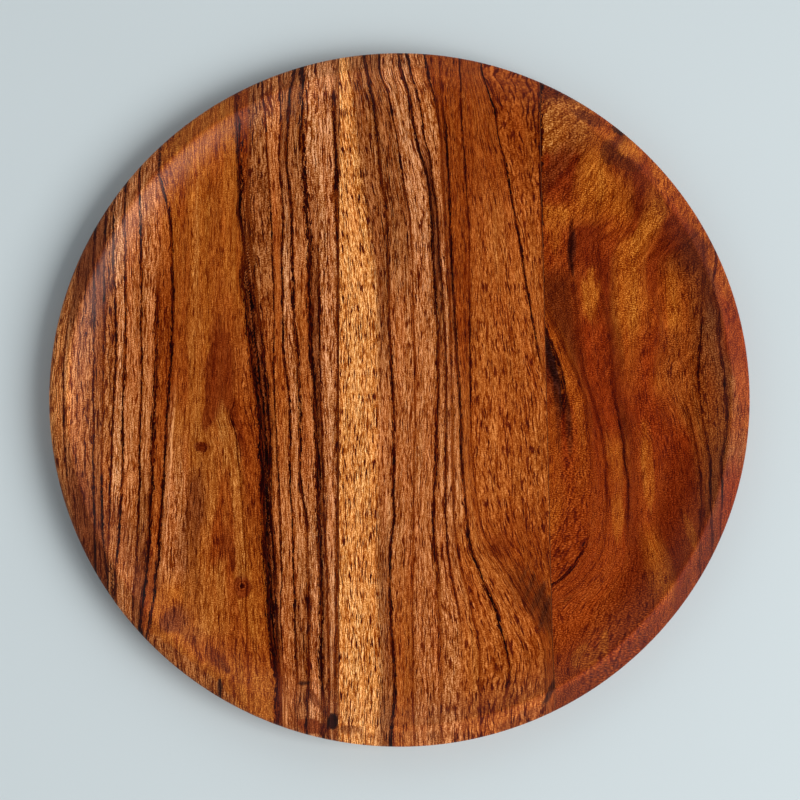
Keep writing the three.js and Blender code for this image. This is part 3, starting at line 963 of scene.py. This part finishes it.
def frayed_tone(n, grain, fray):
    """The tone of the wood and its patches, whose borders fray along the streaks."""
    patch = n.attribute("patch")
    cover = n.total((patch["Alpha"], 1), (grain.streak, fray), (grain.hair, fray))
    cover = n.times(n.fade(cover, *COVER_FADE), n.fade(patch["Alpha"], *BORDER_FADE))
    return n.mix(cover, n.attribute("tone")["Color"], patch["Color"])


def wood_material(name, look, seed):
    """Oiled wood, painted by the grain attributes of its board."""
    material, n = new_material(name)
    grain = wood_noise(n, seed)
    streaky, porous, worn = n.attribute_parts("traits")
    thread = n.fade(grain.thread, *MARK_FADE)
    streaks = n.total(
        (grain.hair, 3), (grain.streak, 1.4), (grain.band, 0.8), (thread, -1.4), (grain.speckle, 1.6),
        (1, 0.2),
    )
    streaks = n.times(streaks, look.streak)
    fibres = n.total((porous, 1.8 * look.fibre), (1, 1.2 * look.fibre))
    curl = curly_sheen(n, grain)
    mark = n.total((grain.dash, 1), (grain.pore_band, 0.5))
    pore = n.times(n.times(n.fade(mark, *MARK_FADE), porous), look.fibre)
    line = growth_lines(n, grain)
    core, rings = knot_marks(n, grain)
    # The curl term is the painted sheen of the curly figure.
    light = n.total(
        (streaks, streaky), (grain.fibre, fibres), (grain.broad, 0.6), (grain.speckle, look.speckle),
        (curl, look.curl), (pore, -2.1), (line, -3.5), (core, -0.9), (rings, -0.2),
    )
    colour = n.scaled(frayed_tone(n, grain, look.fray), stain(n, grain, light))
    rough = n.total((pore, 0.15), (grain.fibre, 0.3), (worn, 0.35), (1, ROUGHNESS))
    height = n.total((grain.fibre, 0.6), (grain.speckle, 0.6), (pore, -0.8), (line, -0.25))
    n.surface(colour, rough, specular=0.15, Normal=n.bump(height, strength=0.5, distance=0.05))
    return material


GLUE_COLOURS = ("#58280e", "#743814")
GLUE_CLOUD = (1.5 * MM, 6 * MM, 1.5 * MM)


def glue_material():
    """Cured glue, sanded flush and darkened by oil."""
    material, n = new_material("cured_glue")
    cloud = n.cloud(GLUE_CLOUD)
    colour = n.clouded(cloud, map(linear, GLUE_COLOURS))
    rough = n.math("ADD", n.times(cloud, 0.2), 0.5)
    n.surface(colour, rough, specular=0.2, Normal=n.bump(cloud, strength=0.3, distance=0.03))
    return material


def dress(piece, node, material):
    piece.data.materials.append(material)
    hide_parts(node)
    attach(piece, "root")


SEED_STEP = 400  # millimetres of noise between the boards


def add_platter():
    blank = turned_blank()
    gap = SEAM_WIDTH / 2
    film = FILM_THICKNESS / 2
    left_cuts = [keep_left(LEFT_SEAM, -gap)]
    middle_cuts = [keep_right(LEFT_SEAM, gap), keep_left(RIGHT_SEAM, -gap)]
    right_cuts = [keep_right(RIGHT_SEAM, gap)]
    boards = [
        ("left_board", "striped_wood", left_cuts, LEFT_FIGURE, LEFT_LOOK),
        ("middle_board", "pale_edged_wood", middle_cuts, MIDDLE_FIGURE, MIDDLE_LOOK),
        ("right_board", "red_curly_wood", right_cuts, RIGHT_FIGURE, RIGHT_LOOK),
    ]
    for number, (node, slot, cuts, figure, look) in enumerate(boards):
        piece = part_off(blank, "wood_" + node, cuts)
        write_grain(piece, figure)
        dress(piece, node, wood_material(slot, look, SEED_STEP * number))
    glue = glue_material()
    for node, seam in (("left_glue_film", LEFT_SEAM), ("right_glue_film", RIGHT_SEAM)):
        cuts = [keep_left(seam, film), keep_right(seam, -film)]
        dress(part_off(blank, "cured_" + node, cuts), node, glue)
    bpy.data.meshes.remove(blank)


# The photograph's view: nearly straight down, from the side that is low in the picture.
IMAGE_SIZE = 800  # pixels
FOCAL_PIXELS = 2095
SENSOR = 36  # millimetres
CAMERA_TILT = radians(8)
CAMERA_DISTANCE = 0.8975
CAMERA_AIM = np.array([0.23, -3.4, 12.5]) * MM


def add_camera():
    data = bpy.data.cameras.new("camera")
    data.sensor_width = SENSOR
    data.lens = FOCAL_PIXELS * SENSOR / IMAGE_SIZE
    camera = put("camera", data)
    outward = np.array([0, -sin(CAMERA_TILT), cos(CAMERA_TILT)])
    camera.location = CAMERA_AIM + CAMERA_DISTANCE * outward
    camera.rotation_euler = (CAMERA_TILT, 0, 0)
    bpy.context.scene.camera = camera


# A large soft lamp on the right of the picture, and a surround, brighter there and dark overhead.
LAMP_DISTANCE = 2.6
LAMP_SIZE = 1.75
LAMP_AZIMUTH = radians(-23)
LAMP_FROM_ZENITH = radians(47)
LAMP_POWER = 57.5
SURROUND_COLOUR = "#f6fbff"
SURROUND = 0.7
SURROUND_AZIMUTH = radians(8)
SURROUND_LEAN = 0.35  # how much brighter the surround is towards its azimuth, and dimmer opposite
SURROUND_OVERHEAD = 0.03
OVERHEAD_FROM = 0.62  # cosine of the zenith angle where the surround starts to darken
OVERHEAD_TO = 0.93


def add_lamp():
    data = bpy.data.lights.new("soft_lamp", "AREA")
    data.size = LAMP_SIZE
    data.energy = LAMP_POWER
    lamp = put("soft_lamp", data)
    out = sin(LAMP_FROM_ZENITH)
    lamp.location = LAMP_DISTANCE * np.array([
        out * cos(LAMP_AZIMUTH), out * sin(LAMP_AZIMUTH), cos(LAMP_FROM_ZENITH),
    ])
    lamp.rotation_euler = (0, LAMP_FROM_ZENITH, LAMP_AZIMUTH)


def add_surround():
    world = bpy.data.worlds.new("studio")
    world.use_nodes = True
    n = Nodes(world.node_tree)
    east, north, up = n.parts(n.add("TexCoord").outputs["Generated"])
    glow = n.fade(up, OVERHEAD_FROM, OVERHEAD_TO, SURROUND, SURROUND_OVERHEAD)
    bright_side = n.total((east, cos(SURROUND_AZIMUTH)), (north, sin(SURROUND_AZIMUTH)))
    lean = n.total((bright_side, SURROUND_LEAN), (1, 1))
    colour = (*linear(SURROUND_COLOUR), 1)
    background = n.add("Background", {"Color": colour, "Strength": n.times(glow, lean)})
    n.add("OutputWorld", {"Surface": background.outputs[0]})
    bpy.context.scene.world = world


FLOOR_SIZE = 12
FLOOR_SEGMENTS = 8
FLOOR_DROP = 0.1 * MM  # below the foot
FLOOR_COLOUR = "#d5dee0"
FLOOR_TINTS = (0.98, 1.02)
FLOOR_CLOUD = (0.15, 0.15, 0.15)


def add_floor():
    mesh = bpy.data.meshes.new("table_top")
    body = bmesh.new()
    bmesh.ops.create_grid(
        body, x_segments=FLOOR_SEGMENTS, y_segments=FLOOR_SEGMENTS, size=FLOOR_SIZE / 2
    )
    body.to_mesh(mesh)
    body.free()
    floor = put("table_top", mesh)
    floor.location.z = -FLOOR_DROP
    material, n = new_material("pale_table")
    colour = n.clouded(n.cloud(FLOOR_CLOUD), [linear(FLOOR_COLOUR) * tint for tint in FLOOR_TINTS])
    n.surface(colour, roughness=0.8, specular=0.2)
    mesh.materials.append(material)


add_platter()
add_camera()
add_lamp()
add_surround()
add_floor()
bpy.context.scene.view_settings.view_transform = "Standard"
